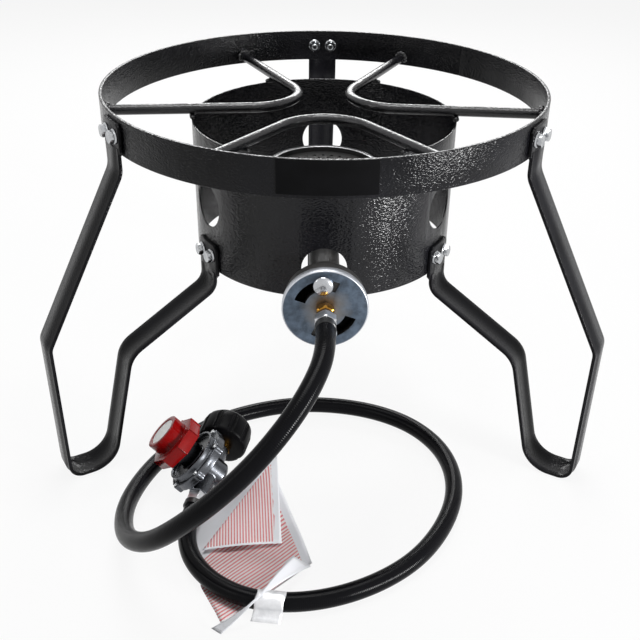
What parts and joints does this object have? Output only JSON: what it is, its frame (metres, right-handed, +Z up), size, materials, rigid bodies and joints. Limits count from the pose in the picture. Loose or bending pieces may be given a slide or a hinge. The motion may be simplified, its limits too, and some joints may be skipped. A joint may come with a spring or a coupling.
{
  "type": "gas burner stove",
  "caption": "Round floor-standing gas burner stove: pot ring with bent rods on strap legs, wind shroud, cast burner with air shutter, hose and screw-set regulator with hand nut.",
  "frame": {"origin": "floor level, middle of the stove's own footprint (hose and regulator left out); the burner axis is 35.1 mm in front of it", "axes": "+Z up, front with the burner tube and the air shutter along -Y, +X to the right seen from the front"},
  "size_m": [0.5094, 0.6273, 0.341],
  "materials": {
    "powder_black": "hammered satin powder coat",
    "rod_black": "satin powder coat",
    "leg_black": "semi-gloss powder coat",
    "label_black": "satin film",
    "zinc_bright": "bright zinc plate",
    "zinc_blue": "bluish zinc plate, mottled",
    "iron_black": "black stove paint",
    "brass_yellow": "satin",
    "hose_black": "satin",
    "ferrule_black": "black plate",
    "seal_rubber": "matte",
    "cast_grey": "die-cast, satin",
    "knob_red": "glossy",
    "insert_white": "satin",
    "nut_black": "matte",
    "foil_silver": "crinkled foil",
    "paper_white": "matte paper"
  },
  "bodies": {
    "stand": {"pot_ring": "powder_black", "pot_rod_front": "rod_black", "pot_rod_right": "rod_black", "pot_rod_left": "rod_black", "ring_label": "label_black", "wind_shroud": "powder_black", "leg_left": "leg_black", "leg_right": "leg_black", "leg_back": "leg_black", "ring_bolts": "zinc_bright", "ring_nuts": "zinc_bright", "shroud_bolts": "zinc_bright", "shroud_nuts": "zinc_bright", "burner_strap": "rod_black", "burner_casting": "iron_black", "burner_cap": "iron_black", "burner_bolt": "zinc_bright", "burner_nut": "zinc_bright", "shutter_screws": "zinc_bright", "orifice_fitting": "brass_yellow", "hose_coupling": "zinc_bright", "gas_hose": "hose_black", "hose_ferrule": "ferrule_black", "outlet_fitting": "zinc_bright", "regulator_body": "cast_grey", "regulator_bonnet": "cast_grey", "bonnet_screws": "zinc_bright", "diaphragm": "seal_rubber", "diaphragm_plate": "zinc_bright", "valve_poppet": "brass_yellow", "poppet_spring": "zinc_bright", "main_spring": "zinc_bright", "inlet_nipple": "brass_yellow", "nipple_seal": "seal_rubber", "foil_sleeve": "foil_silver", "paper_tag": "paper_white"},
    "shutter": {"air_shutter": "zinc_blue"},
    "setting": {"spring_button": "zinc_bright"},
    "knob": {"pressure_knob": "knob_red", "adjusting_screw": "zinc_bright", "knob_insert": "insert_white"},
    "coupling_nut": {"hand_nut": "nut_black"}
  },
  "joints": [
    {"name": "air_shutter_turn", "type": "hinge", "parent": "stand", "child": "shutter", "pos_m": [0, -0.2293, 0.211], "axis": [0, -1, 0], "range_deg": [-58, 23]},
    {"name": "setting_slide", "type": "slide", "parent": "stand", "child": "setting", "axis": [0.7027, -0.0529, -0.7095], "range_m": [0, 0.00501], "deforming": ["main_spring"]},
    {"name": "pressure_knob_turn", "type": "hinge", "parent": "setting", "child": "knob", "pos_m": [-0.13662, -0.19422, 0.05111], "axis": [0.7027, -0.0529, -0.7095], "range_deg": [0, 1200]},
    {"name": "hand_nut_turn", "type": "hinge", "parent": "stand", "child": "coupling_nut", "pos_m": [-0.09546, -0.15832, 0.02578], "axis": [0.2386, 0.957, 0.165], "continuous": true}
  ],
  "couplings": [
    {"joint": "setting_slide", "follows": "pressure_knob_turn", "m_per_rad": 0.00023873}
  ]
}
